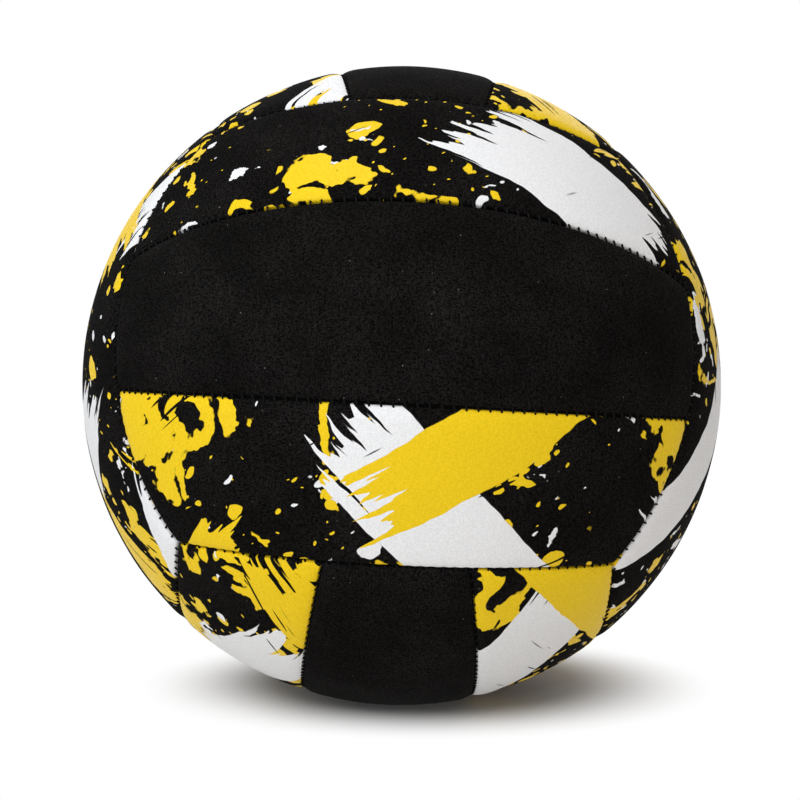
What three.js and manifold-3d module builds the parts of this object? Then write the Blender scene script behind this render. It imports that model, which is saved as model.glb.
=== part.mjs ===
// Eighteen-panel stitched volleyball. Millimetres, +Z up, viewer on the -Y side.
// The origin is the centre of the ball, which lies turned as it was photographed.
import * as THREE from "three";
import { mergeVertices } from "three/addons/utils/BufferGeometryUtils.js";
import Module from "manifold-3d";

// Layers of the ball, from the outside in
const BALL_DIAMETER = 212;
const COVER_THICKNESS = 0.8;
const FOAM_THICKNESS = 2.4;
const BLADDER_WALL = 1;
const LAYER_GAP = 0.3;

// Panel widths, measured over the ball's surface
const FACE_WIDTH = 142;
const CENTRE_STRIP_WIDTH = 54.5;
const CENTRE_STRIP_END_WIDTH = 38.6;

// Sewn seams: the covers roll under beside a seam, and the thread lies in the groove
const EDGE_ROLL_WIDTH = 4;
const SEAM_GAP = 0.4;
const THREAD_DIAMETER = 0.8;
const THREAD_DEPTH = 1.8;

// Valve in the middle of the back face
const VALVE_NECK_DIAMETER = 9.6;
const VALVE_RECESS = 0.8;
const VALVE_FLANGE_DIAMETER = 26;
const VALVE_FLANGE_THICKNESS = 1.2;
const VALVE_BARREL_LENGTH = 16;
const CORE_HEAD_DIAMETER = 6.4;
const CORE_HEAD_THICKNESS = 1.6;
const CORE_STEM_DIAMETER = 4.4;
const CORE_LENGTH = 15;
const NEEDLE_HOLE_DIAMETER = 1.6;
const NEEDLE_HOLE_DEPTH = 12;

// How the ball lies, in degrees: tipped back, rolled to the right and turned to the left
const TIP_BACK = 16.3;
const ROLL_RIGHT = 2.9;
const TURN_LEFT = 0.45;

// Fineness of the facets
const CELLS_ALONG = 10;
const CELLS_ACROSS = 3;
const ROLL_SHARES = [0, 0.3, 1];
const THREAD_STEPS = 10;
const THREAD_SIDES = 3;
const ROUND_SIDES = 20;
const FLANGE_STEPS = 3;
const BLADDER_DETAIL = 3;
const MERGE_DISTANCE = 1e-3;
const SEARCH_PASSES = 40;
const PLACING_PASSES = 8;

// Sizes that follow from the ones above
const RADIUS = BALL_DIAMETER / 2;
const FOAM_TOP = RADIUS - COVER_THICKNESS - LAYER_GAP;
const FOAM_BASE = FOAM_TOP - FOAM_THICKNESS;
const CORNER_LATITUDE = Math.asin(1 / Math.sqrt(3));
const CORNER_LONGITUDE = Math.PI / 4;
const FACE_HALF_ANGLE = FACE_WIDTH / 2 / RADIUS;
const STRIP_END_LONGITUDE = Math.PI / 2 - FACE_HALF_ANGLE;

// Facets of the foam sink below the round surface by this much, and the bladder stays clear of them.
const CELL_LENGTH = (2 * STRIP_END_LONGITUDE * RADIUS) / CELLS_ALONG;
const CELL_WIDTH = Math.max(CENTRE_STRIP_WIDTH, (FACE_WIDTH - CENTRE_STRIP_END_WIDTH) / 2) / CELLS_ACROSS;
const FACET_SINK = (CELL_LENGTH ** 2 + CELL_WIDTH ** 2) / (8 * FOAM_BASE);
const BLADDER_RADIUS = FOAM_BASE - FACET_SINK - LAYER_GAP;

const solids = await Module();
solids.setup();

// Panel layout on the ball
// Each face is drawn with its normal on +z, its strips along x and its width along y.
function direction(longitude, latitude) {
  return new THREE.Vector3(
    Math.cos(latitude) * Math.sin(longitude),
    Math.sin(latitude),
    Math.cos(latitude) * Math.cos(longitude),
  );
}

// The long edge of a face bows outwards and ends in the corners that three faces share.
function faceEdge(longitude) {
  const share = longitude / CORNER_LONGITUDE;
  return FACE_HALF_ANGLE + (CORNER_LATITUDE - FACE_HALF_ANGLE) * share * share;
}

// The seam between the centre strip and an outer strip draws in towards both ends.
function stripSeam(longitude) {
  const middle = CENTRE_STRIP_WIDTH / 2 / RADIUS;
  const end = CENTRE_STRIP_END_WIDTH / 2 / RADIUS;
  const share = longitude / STRIP_END_LONGITUDE;
  return middle + (end - middle) * share * share;
}

const CENTRE_STRIP = {
  low: (longitude) => -stripSeam(longitude),
  high: stripSeam,
};
const OUTER_STRIP = { low: stripSeam, high: faceEdge };

function latitudeAt(strip, share, longitude) {
  const low = strip.low(longitude);
  return low + share * (strip.high(longitude) - low);
}

// A strip ends at the long edge of the next face, which has its normal on x and its length along y.
function endLongitude(strip, share) {
  let inside = 0;
  let outside = Math.PI / 2;
  for (let pass = 0; pass < SEARCH_PASSES; pass++) {
    const longitude = (inside + outside) / 2;
    const point = direction(longitude, latitudeAt(strip, share, longitude));
    const edge = faceEdge(Math.atan2(point.y, point.x));
    if (Math.asin(point.z) > edge) inside = longitude;
    else outside = longitude;
  }
  return inside;
}

// Panel surfaces
// Grid lines lie at fixed distances from both edges of a strip, and evenly between the innermost of these.
function linePlaces(insets, cells, length) {
  const innermost = insets[insets.length - 1];
  const between = [];
  for (let cell = 1; cell < cells; cell++) {
    between.push(innermost + ((length - 2 * innermost) * cell) / cells);
  }
  const farSide = insets.map((inset) => length - inset).reverse();
  return [...insets, ...between, ...farSide];
}

// How far across a strip a grid line runs at one longitude, as a share of the strip's width there.
function shareAcross(strip, insets, row, longitude) {
  const width = (strip.high(longitude) - strip.low(longitude)) * RADIUS;
  return linePlaces(insets, CELLS_ACROSS, width)[row] / width;
}

// The crossing of two grid lines, found by turns because each line's place depends on the other's.
function gridDirection(strip, insets, row, column) {
  let longitude = 0;
  for (let pass = 0; pass < PLACING_PASSES; pass++) {
    const share = shareAcross(strip, insets, row, longitude);
    const end = endLongitude(strip, share);
    const length = 2 * end * RADIUS * Math.cos(latitudeAt(strip, share, longitude));
    longitude = end * ((2 * linePlaces(insets, CELLS_ALONG, length)[column]) / length - 1);
  }
  return direction(longitude, latitudeAt(strip, shareAcross(strip, insets, row, longitude), longitude));
}

// Points of one skin of a panel. Each inset line has its own drop below the top radius.
function panelGrid(strip, insets, drops, topRadius) {
  const rowCount = 2 * insets.length + CELLS_ACROSS - 1;
  const columnCount = 2 * insets.length + CELLS_ALONG - 1;
  const dropOf = (line, count) => drops[Math.min(line, count - 1 - line)] ?? 0;
  const grid = [];
  for (let row = 0; row < rowCount; row++) {
    const points = [];
    for (let column = 0; column < columnCount; column++) {
      const drop = Math.max(dropOf(row, rowCount), dropOf(column, columnCount));
      points.push(gridDirection(strip, insets, row, column).multiplyScalar(topRadius - drop));
    }
    grid.push(points);
  }
  return grid;
}

// The indices round the rim of a grid, anticlockwise as seen from outside the ball.
function rimOf(rowCount, columnCount) {
  const rim = [];
  const last = (rowCount - 1) * columnCount;
  for (let column = 0; column < columnCount - 1; column++) rim.push(column);
  for (let row = 0; row < rowCount - 1; row++) rim.push(row * columnCount + columnCount - 1);
  for (let column = columnCount - 1; column > 0; column--) rim.push(last + column);
  for (let row = rowCount - 1; row > 0; row--) rim.push(row * columnCount);
  return rim;
}

// A closed sheet between an outer and an inner grid of the same fineness.
function sheetBetween(outer, inner) {
  const rowCount = outer.length;
  const columnCount = outer[0].length;
  const innerStart = rowCount * columnCount;
  const triangles = [];
  for (let row = 0; row < rowCount - 1; row++) {
    for (let column = 0; column < columnCount - 1; column++) {
      const a = row * columnCount + column;
      const b = a + 1;
      const c = b + columnCount;
      const d = a + columnCount;
      triangles.push(a, b, c, a, c, d);
      triangles.push(innerStart + a, innerStart + c, innerStart + b);
      triangles.push(innerStart + a, innerStart + d, innerStart + c);
    }
  }
  const rim = rimOf(rowCount, columnCount);
  rim.forEach((here, place) => {
    const next = rim[(place + 1) % rim.length];
    triangles.push(innerStart + here, innerStart + next, next);
    triangles.push(innerStart + here, next, here);
  });
  const geometry = new THREE.BufferGeometry();
  geometry.setFromPoints([...outer.flat(), ...inner.flat()]);
  geometry.setIndex(triangles);
  return geometry;
}

// The cover's edges roll under in a quarter round, down to the level of the foam's inner side.
function coverGeometry(strip) {
  const edgeDrop = RADIUS - FOAM_BASE;
  const quarterRound = ROLL_SHARES.map((share) => 1 - Math.sqrt(1 - (1 - share) ** 2));
  const innerRoll = EDGE_ROLL_WIDTH - COVER_THICKNESS;
  const outer = panelGrid(
    strip,
    ROLL_SHARES.map((share) => SEAM_GAP / 2 + share * EDGE_ROLL_WIDTH),
    quarterRound.map((round) => round * edgeDrop),
    RADIUS,
  );
  const inner = panelGrid(
    strip,
    ROLL_SHARES.map((share) => SEAM_GAP / 2 + COVER_THICKNESS + share * innerRoll),
    quarterRound.map((round) => round * (edgeDrop - COVER_THICKNESS)),
    RADIUS - COVER_THICKNESS,
  );
  return sheetBetween(outer, inner);
}

// The foam stops short of the rolled edges.
function foamGeometry(strip) {
  const insets = [SEAM_GAP / 2 + EDGE_ROLL_WIDTH + LAYER_GAP];
  return sheetBetween(panelGrid(strip, insets, [], FOAM_TOP), panelGrid(strip, insets, [], FOAM_BASE));
}

// Cutting and joining
function toSolid(geometry) {
  const bare = geometry.clone();
  bare.deleteAttribute("normal");
  bare.deleteAttribute("uv");
  const merged = mergeVertices(bare, MERGE_DISTANCE);
  const mesh = new solids.Mesh({
    numProp: 3,
    vertProperties: merged.attributes.position.array,
    triVerts: new Uint32Array(merged.index.array),
  });
  return new solids.Manifold(mesh);
}

function toGeometry(solid) {
  const mesh = solid.getMesh();
  const geometry = new THREE.BufferGeometry();
  geometry.setAttribute("position", new THREE.BufferAttribute(mesh.vertProperties, 3));
  geometry.setIndex(new THREE.BufferAttribute(mesh.triVerts, 1));
  return geometry;
}

// A round cutter on the valve's axis.
function cutter(diameter, from, to) {
  const geometry = new THREE.CylinderGeometry(diameter / 2, diameter / 2, to - from, ROUND_SIDES);
  geometry.rotateX(Math.PI / 2);
  geometry.translate(0, 0, (from + to) / 2);
  return toSolid(geometry);
}

// A turned piece on the valve's axis, from a closed outline of [radius, height] points.
function turned(outline) {
  const points = outline.map(([radius, height]) => new THREE.Vector2(radius, height));
  const geometry = new THREE.LatheGeometry([...points, points[0]], ROUND_SIDES);
  geometry.rotateX(Math.PI / 2);
  return toGeometry(toSolid(geometry));
}

// Bladder and valve
const VALVE_TOP = RADIUS - VALVE_RECESS;
const FLANGE_BASE = BLADDER_RADIUS + LAYER_GAP;
const FLANGE_TOP = FLANGE_BASE + VALVE_FLANGE_THICKNESS;
const BARREL_END = FLANGE_BASE - VALVE_BARREL_LENGTH;
const HEAD_SEAT = VALVE_TOP - CORE_HEAD_THICKNESS - LAYER_GAP;

// The flange is moulded to the curve of the bladder.
function flangeLine(sphereRadius) {
  const line = [];
  for (let step = 0; step <= FLANGE_STEPS; step++) {
    const inner = VALVE_NECK_DIAMETER / 2;
    const radius = inner + ((VALVE_FLANGE_DIAMETER / 2 - inner) * step) / FLANGE_STEPS;
    line.push([radius, Math.sqrt(sphereRadius ** 2 - radius ** 2)]);
  }
  return line;
}

function valveBodyGeometry() {
  const neck = VALVE_NECK_DIAMETER / 2;
  const bore = CORE_STEM_DIAMETER / 2 + LAYER_GAP;
  const headBore = CORE_HEAD_DIAMETER / 2 + LAYER_GAP;
  return turned([
    [bore, BARREL_END],
    [neck, BARREL_END],
    ...flangeLine(FLANGE_BASE),
    ...flangeLine(FLANGE_TOP).reverse(),
    [neck, VALVE_TOP],
    [headBore, VALVE_TOP],
    [headBore, HEAD_SEAT],
    [bore, HEAD_SEAT],
  ]);
}

function valveCoreGeometry() {
  const needle = NEEDLE_HOLE_DIAMETER / 2;
  return turned([
    [0, VALVE_TOP - CORE_LENGTH],
    [CORE_STEM_DIAMETER / 2, VALVE_TOP - CORE_LENGTH],
    [CORE_STEM_DIAMETER / 2, VALVE_TOP - CORE_HEAD_THICKNESS],
    [CORE_HEAD_DIAMETER / 2, VALVE_TOP - CORE_HEAD_THICKNESS],
    [CORE_HEAD_DIAMETER / 2, VALVE_TOP],
    [needle, VALVE_TOP],
    [needle, VALVE_TOP - NEEDLE_HOLE_DEPTH],
    [0, VALVE_TOP - NEEDLE_HOLE_DEPTH],
  ]);
}

function bladderGeometry() {
  const outside = toSolid(new THREE.IcosahedronGeometry(BLADDER_RADIUS, BLADDER_DETAIL));
  const inside = toSolid(new THREE.IcosahedronGeometry(BLADDER_RADIUS - BLADDER_WALL, BLADDER_DETAIL));
  const valveHole = cutter(VALVE_NECK_DIAMETER + 2 * LAYER_GAP, 0, RADIUS);
  return toGeometry(outside.subtract(inside).subtract(valveHole));
}

function withNeckHole(geometry) {
  const neckHole = cutter(VALVE_NECK_DIAMETER + 2 * LAYER_GAP, 0, BALL_DIAMETER);
  return toGeometry(toSolid(geometry).subtract(neckHole));
}

function withFlangeRecess(geometry) {
  const recess = cutter(VALVE_FLANGE_DIAMETER + 2 * LAYER_GAP, 0, FLANGE_TOP + LAYER_GAP);
  return toGeometry(toSolid(geometry).subtract(recess));
}

// Seam thread
function threadTube(directions) {
  const path = new THREE.CatmullRomCurve3(
    directions.map((point) => point.multiplyScalar(RADIUS - THREAD_DEPTH)),
  );
  const section = new THREE.Shape();
  for (let side = 0; side < THREAD_SIDES; side++) {
    const angle = (2 * Math.PI * side) / THREAD_SIDES;
    const x = (Math.cos(angle) * THREAD_DIAMETER) / 2;
    const y = (Math.sin(angle) * THREAD_DIAMETER) / 2;
    if (side === 0) section.moveTo(x, y);
    else section.lineTo(x, y);
  }
  return toSolid(new THREE.ExtrudeGeometry(section, { steps: THREAD_STEPS, extrudePath: path }));
}

// One face's thread runs along its two strip seams and along the seams at its two ends.
function threadGeometry() {
  const reach = endLongitude(CENTRE_STRIP, 1);
  const corner = CORNER_LONGITUDE - (THREAD_DIAMETER + LAYER_GAP) / (RADIUS * Math.cos(CORNER_LATITUDE));
  const runs = [];
  for (const side of [-1, 1]) {
    const stripRun = [];
    const endRun = [];
    for (let step = 0; step <= THREAD_STEPS; step++) {
      const share = (2 * step) / THREAD_STEPS - 1;
      stripRun.push(direction(share * reach, side * stripSeam(share * reach)));
      const alongEnd = direction(share * corner, faceEdge(share * corner));
      endRun.push(new THREE.Vector3(side * alongEnd.z, alongEnd.x, alongEnd.y));
    }
    runs.push(threadTube(stripRun), threadTube(endRun));
  }
  return toGeometry(runs.reduce((joined, run) => joined.add(run)));
}

// Materials
const PLAIN_COVER = new THREE.MeshStandardMaterial({ color: 0x1c1c1d, roughness: 0.85, metalness: 0 });
const PRINTED_COVER = new THREE.MeshStandardMaterial({ color: 0xe6c41f, roughness: 0.85, metalness: 0 });
const FOAM = new THREE.MeshStandardMaterial({ color: 0x2b2b2d, roughness: 0.95, metalness: 0 });
const THREAD = new THREE.MeshStandardMaterial({ color: 0x111112, roughness: 0.8, metalness: 0 });
const BLADDER_RUBBER = new THREE.MeshStandardMaterial({ color: 0x26221f, roughness: 0.6, metalness: 0 });
const VALVE_RUBBER = new THREE.MeshStandardMaterial({ color: 0x18181a, roughness: 0.55, metalness: 0 });

// Faces of the ball: the way their strips run, the way across them, and the names of their outer strips
const FACES = [
  { name: "front", along: [1, 0, 0], across: [0, 0, 1], sides: ["upper", "lower"] },
  { name: "back", along: [-1, 0, 0], across: [0, 0, 1], sides: ["upper", "lower"] },
  { name: "right", along: [0, 0, 1], across: [0, -1, 0], sides: ["front", "back"] },
  { name: "left", along: [0, 0, -1], across: [0, -1, 0], sides: ["front", "back"] },
  { name: "top", along: [0, -1, 0], across: [1, 0, 0], sides: ["right", "left"] },
  { name: "bottom", along: [0, 1, 0], across: [1, 0, 0], sides: ["right", "left"] },
];
const VALVE_FACE = "back";

// Assembly
const ball = new THREE.Group();
ball.name = "volleyball";
ball.rotation.set(
  THREE.MathUtils.degToRad(-TIP_BACK),
  THREE.MathUtils.degToRad(ROLL_RIGHT),
  THREE.MathUtils.degToRad(TURN_LEFT),
  "YZX",
);

function place(name, geometry, material, frame) {
  const mesh = new THREE.Mesh(geometry, material);
  mesh.name = name;
  mesh.applyMatrix4(frame);
  ball.add(mesh);
}

const centreCover = coverGeometry(CENTRE_STRIP);
const centreFoam = foamGeometry(CENTRE_STRIP);
const outerCover = coverGeometry(OUTER_STRIP);
const outerFoam = foamGeometry(OUTER_STRIP);
const seamThread = threadGeometry();

for (const face of FACES) {
  const along = new THREE.Vector3(...face.along);
  const across = new THREE.Vector3(...face.across);
  const normal = along.clone().cross(across);
  const frame = new THREE.Matrix4().makeBasis(along, across, normal);
  const halfTurn = new THREE.Matrix4().makeRotationZ(Math.PI).premultiply(frame);
  const holdsValve = face.name === VALVE_FACE;
  place(
    `${face.name}_centre_cover`,
    holdsValve ? withNeckHole(centreCover) : centreCover,
    PLAIN_COVER,
    frame,
  );
  place(
    `${face.name}_centre_foam`,
    holdsValve ? withFlangeRecess(withNeckHole(centreFoam)) : centreFoam,
    FOAM,
    frame,
  );
  face.sides.forEach((side, order) => {
    const sideFrame = order === 0 ? frame : halfTurn;
    place(`${face.name}_${side}_cover`, outerCover, PRINTED_COVER, sideFrame);
    place(`${face.name}_${side}_foam`, outerFoam, FOAM, sideFrame);
  });
  place(`${face.name}_seam_thread`, seamThread, THREAD, frame);
  if (holdsValve) {
    place("bladder", bladderGeometry(), BLADDER_RUBBER, frame);
    place("valve_body", valveBodyGeometry(), VALVE_RUBBER, frame);
    place("valve_core", valveCoreGeometry(), VALVE_RUBBER, frame);
  }
}

export default ball;
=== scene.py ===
"""Dresses the packed volleyball: sewn panels, stitching, foam, bladder, valve and a plain studio."""
import math

import bmesh
import bpy
import numpy as np
from bpy.props import FloatProperty, FloatVectorProperty, PointerProperty
from mathutils import Matrix, Vector


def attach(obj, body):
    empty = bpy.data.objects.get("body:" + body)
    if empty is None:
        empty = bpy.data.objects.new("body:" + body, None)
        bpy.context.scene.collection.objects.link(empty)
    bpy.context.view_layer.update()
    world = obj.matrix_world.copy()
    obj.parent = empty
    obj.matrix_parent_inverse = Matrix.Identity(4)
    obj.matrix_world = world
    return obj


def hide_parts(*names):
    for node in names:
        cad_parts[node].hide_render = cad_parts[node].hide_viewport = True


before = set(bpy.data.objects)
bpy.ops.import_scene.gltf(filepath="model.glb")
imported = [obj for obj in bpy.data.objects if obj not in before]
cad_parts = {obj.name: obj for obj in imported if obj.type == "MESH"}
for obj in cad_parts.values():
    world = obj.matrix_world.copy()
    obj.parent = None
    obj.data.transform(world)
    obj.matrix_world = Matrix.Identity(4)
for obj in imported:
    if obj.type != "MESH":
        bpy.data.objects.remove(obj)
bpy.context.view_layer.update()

bl_info = {
    "name": "Volleyball",
    "version": (1, 0, 0),
    "blender": (4, 5, 0),
    "location": "View3D > Sidebar > Volleyball",
    "description": "Builds the visible pieces of a sewn eighteen-panel volleyball on its packed frame",
    "category": "Object",
}


def reach_of(node):
    """How far a packed node's furthest point lies from the centre of the ball."""
    return max(vertex.co.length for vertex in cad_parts[node].data.vertices)


BALL_RADIUS = reach_of("front_centre_cover")
BLADDER_RADIUS = reach_of("bladder")
LAYER_GAP = 0.0003
CORNER_LATITUDE = math.asin(1 / math.sqrt(3))
CORNER_LONGITUDE = math.pi / 4

# Faces of the ball: the way their strips run, the way across them, and the names of their outer strips
FACES = (
    ("front", (1, 0, 0), (0, 0, 1), ("upper", "lower")),
    ("back", (-1, 0, 0), (0, 0, 1), ("upper", "lower")),
    ("right", (0, 0, 1), (0, -1, 0), ("front", "back")),
    ("left", (0, 0, -1), (0, -1, 0), ("front", "back")),
    ("top", (0, -1, 0), (1, 0, 0), ("right", "left")),
    ("bottom", (0, 1, 0), (1, 0, 0), ("right", "left")),
)
VALVE_FACE = "back"
VALVE_STRIP = f"{VALVE_FACE}_centre"

# Fineness of the meshes
SEARCH_PASSES = 32
PLACING_PASSES = 6
ROLL_LINES = 8
COVER_STEP = 0.00068
FOAM_STEP = 0.0026
INNER_SKIP = 4
SEAM_SAMPLES = 801
THREAD_SIDES = 8
TURNED_SIDES = 72
BLADDER_STEPS = 48
FLANGE_STEPS = 5
CORNER_STEPS = 4
CORNER_SHARE = 0.45
AXIS_GAP = 0.00001

# Round holes: what lies this near the axis, in diameters, is welded over this distance
RIM_SHARE = 0.6
RIM_WELD = 0.00006

# Padding: how many shoulder widths it falls off over, and the waves of its slow unevenness
SHOULDER_SPAN = 3
SWAY_WAVES = 6
SWAY_LENGTHS = (0.016, 0.045)

# One stitch from hole to hole: side steps in reaches, and depths in thread diameters
STITCH_STEPS = (-1.22, -1.12, -0.9, -0.5, 0, 0.5, 0.9, 1.12, 1.22)
STITCH_DEPTHS = (0.9, 0.35, 0.02, 0, 0.04, 0, 0.02, 0.35, 0.9)

# Unevenness of the stitches: seed of the draws, spread of the lean, and waver in under threads
STITCH_SEED = 5
LEAN_SPREAD = 0.05
THREAD_WAVER = 0.1

# Faces whose thread is drawn in tighter, with the share of a stitch's reach that is left
TIGHT_FACES = {"top": 0.74, "bottom": 0.74}

# Mouth of the needle hole, in needle diameters
NEEDLE_FUNNEL = 1.9

# The map of the flat cloth, and how far apart on the roll the panels are cut
CLOTH_MAP = "cloth"
CLOTH_STEP = (0.571, 0.74)

# Node layout, and plain values of node sockets
NODE_STEP = (220, -260)
NODES_IN_ROW = 10
ORIGIN = (0.0, 0.0, 0.0)
BLACK = (0.0, 0.0, 0.0, 1.0)
WHITE = (1.0, 1.0, 1.0, 1.0)
FULL_SPAN = (0.0, 1.0)

# Weave: features for each metre, how drawn out a thread is, and how the raised threads are made up
WEAVE_THREADS = 2500.0
WEAVE_PATCHES = 2000.0
WEAR_PATCHES = 45.0
THREAD_DRAW = 0.36
WEFT_SHIFT = (0.0, 0.0, 7.3)
THREAD_LIFT = 0.75
PATCH_LIFT = 0.5
CROWN_SPAN = (0.48, 0.86)
WEAR_SPAN = (0.3, 0.75)
WEAR_LEFT = (0.45, 1.0)
WEAVE_ROUGHNESS = (1.0, 0.86)

# Lint: metres from one fibre to the next, radius of a fibre, its full core, and the share left out
LINT_SPACING = 0.007
LINT_SIZE = 0.00022
LINT_CORE = 0.4
LINT_LEFT_OUT = 0.78

# Brush strokes: moves and half sizes in shares of a stroke's cell, its slope, and its curve
STROKE_SLIDE = 0.2
STROKE_SHIFT = 0.25
STROKE_WIDTHS = (0.16, 0.26)
STROKE_LENGTHS = (0.28, 0.4)
STROKE_TILT = 0.35
STROKE_BEND = 5.0

# Rough edges of the strokes: features for each metre, and how far they reach in metres
STROKE_WAVES = 38
STROKE_WOBBLE = 0.007
BRISTLES = (22, 240)
BRISTLE_REACH = 0.045
INK_EDGE = 0.00012

# Dry streaks: features for each metre, the noise where the ink gives way, and what a dry end adds to it
STREAKS = (16, 420)
STREAK_SPAN = (0.655, 0.675)
DRY_END = 0.022
DRYNESS = (0.09, -0.12)

# Numbers that keep the random draws of the strokes apart
ROW_SALT = 3.7
SHAPE_SALT = 17.3
KEPT_SALT = 31.9
GRAIN_SALT = 9.0

# Torn patches, in patch sizes. A push is a noise's scale, detail and roughness, and its reach
PATCH_SALT = 1.7
PATCH_PUSHES = ((0.9, 1, 0.5, 2.2), (4.5, 2, 0.6, 0.32))

# Weights of the patches' noises, and the level of ink with the share of the cover that lowers it
PATCH_BROAD = 0.55
PATCH_NARROW = 0.45
PATCH_GATHER = 0.35
PATCH_LIMIT = 0.78
PATCH_COVER = 0.6
PATCH_EDGE = 0.006

# Drops of ink: their push in metres, slant and stretch, then radii and edge in drop spacings
DROP_SALT = 2.3
DROP_PUSH = (160, 2, 0.5, 0.0045)
DROP_ANGLE = 0.9
DROP_STRETCH = (1.0, 0.62, 1.0)
LARGE_DROP_RARITY = 4.0
DROP_RADII = (0.045, 0.345)
DROP_EDGE = 0.012

# Clusters of drops: features for each metre, and the noise over which the drops grow dense
DROP_CLUSTERS = 22
CLUSTER_SPAN = (0.42, 0.7)

# Scuffs: features for each metre along and across them, and the noise above which they show
SCUFF_STRETCH = (26.0, 420.0, 1.0)
SCUFF_CLUSTERS = 30
SCUFF_LIMIT = 0.86
SCUFF_EDGE = 0.02

# Finishes: features for each metre, gloss, spans, and relief as a height in metres and a strength
FABRIC_GLOSS = 0.013
PLAIN_RELIEF = (0.00012, 0.8)
PRINTED_RELIEF = (0.0001, 0.6)
INK_SHADE = (0.9, 1.0)
INK_COAT_SPAN = (0.0, 0.7)
INK_COAT = (0.35, 1.0)
INK_COAT_ROUGHNESS = 0.4
INK_COAT_IOR = 1.17
THREAD_FIBRES = 2600.0
THREAD_LIGHT = 3
THREAD_GLOSS = 0.08
FIBRE_SPAN = (0.3, 0.7)
THREAD_ROUGHNESS = (0.75, 0.95)
THREAD_RELIEF = (0.0001, 0.6)
FOAM_CELLS = 1500.0
FOAM_DARK = 0.35
FOAM_GLOSS = 0.15
HOLLOW_SPAN = (0.1, 0.7)
CELL_SPAN = (0.0, 0.8)
FOAM_ROUGHNESS = (0.85, 1.0)
FOAM_RELIEF = (0.0003, 0.8)
BLADDER_GRAINS = 900.0
VALVE_GRAINS = 1600.0
GRAINS_IN_BLOOM = 14.0
BLOOM_PALE = 2.2
BLOOM_SPAN = (0.35, 0.8)
RUBBER_GLOSS = 0.4
RUBBER_SPAN = (0.3, 0.7)
RUBBER_ROUGHNESS = (0.42, 0.6)
RUBBER_RELIEF = (0.00006, 0.7)

# Soft boxes: name, properties of power and tint, size, azimuth, elevation and distance from the ball
LAMPS = (
    ("key light", "key_power", "cool_tint", (0.17, 0.36), -46, 2, 1.0),
    ("front light", "front_power", "pale_tint", (0.9, 0.5), -16, 36, 1.0),
    ("top light", "top_power", "pale_tint", (0.6, 0.5), -30, 76, 0.9),
    ("back light", "back_power", "pale_tint", (0.9, 0.5), 170, 38, 1.0),
    ("fill light", "fill_power", "warm_tint", (0.6, 0.5), 38, 14, 1.0),
)

# Nearest distance that the camera sees
NEAREST_VIEW = 0.01

# The floor, and the oval patch round the ball beyond which it is seen as plain white
FLOOR_RADIUS = 3
FLOOR_SIDES = 128
FLOOR_MOTTLE = 60.0
FLOOR_DIM = 0.985
FLOOR_ROUGHNESS = 0.9
FADE_STRETCH = (0.88, 1.75, 1.0)
FADE_CENTRE = (0.008, 0.005, 0.0)
FADE_SPAN = (0.044, 0.092)


def length_value(name, default, description):
    """A size in metres that a user may change."""
    return FloatProperty(
        name=name, description=description, default=default, min=0, precision=5, unit="LENGTH"
    )


def angle_value(name, degrees, description):
    """An angle that a user may change."""
    return FloatProperty(
        name=name, description=description, default=math.radians(degrees), subtype="ANGLE"
    )


def colour_value(name, default, description):
    """A colour that a user may change."""
    return FloatVectorProperty(
        name=name, description=description, default=default, size=3, min=0, max=1, subtype="COLOR"
    )


def power_value(name, default, description):
    """A lamp's power in watts."""
    return FloatProperty(name=name, description=description, default=default, min=0, unit="POWER")


class PanelSizes(bpy.types.PropertyGroup):
    """Layout of the panels on the ball, and how the ball lies."""

    face_width: length_value("Face width", 0.142, "Width of three strips across the middle of a face")
    centre_width: length_value("Centre strip width", 0.0545, "Width of a centre strip at its middle")
    centre_end_width: length_value("Centre strip end", 0.0386, "Width of a centre strip at its ends")
    cover_thickness: length_value("Cover thickness", 0.0008, "Thickness of the fabric cover")
    seam_gap: length_value("Seam gap", 0.00026, "Gap between two covers at a seam")
    roll_width: length_value("Roll width", 0.0005, "How far from a seam the cover starts to roll under")
    roll_depth: length_value("Roll depth", 0.0035, "How deep the rolled edge reaches")
    shoulder_drop: length_value("Shoulder drop", 0.00095, "How far the padding falls off at the seams")
    shoulder_width: length_value("Shoulder width", 0.002, "How far from a seam the padding falls off")
    sway: length_value("Sway", 0.00018, "Height of the slow unevenness of the padding")
    tip_back: angle_value("Tip back", 16.3, "How far the front face is tipped back")
    roll_right: angle_value("Roll right", 2.9, "How far the ball is rolled to the right")
    turn_left: angle_value("Turn left", 0.45, "How far the ball is turned to the left")


class StitchSizes(bpy.types.PropertyGroup):
    """Sizes of the seam stitches."""

    pitch: length_value("Pitch", 0.00305, "Distance from one stitch to the next")
    thread: length_value("Thread", 0.00057, "Diameter of the sewing thread")
    reach: length_value("Reach", 0.00062, "How far from the seam a stitch goes into the cover")
    under_thread: length_value("Under thread", 0.0004, "Diameter of the thread drawn tight in the groove")
    groove_depth: length_value("Groove depth", 0.0019, "Depth of the under thread in the groove")
    pucker: length_value("Pucker", 0.00025, "How deep a stitch pulls the cover in")
    pucker_width: length_value("Pucker width", 0.0011, "How far from the seam a stitch pulls the cover in")
    lean: angle_value("Lean", -12, "How far the stitches lean along the seam")


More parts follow.
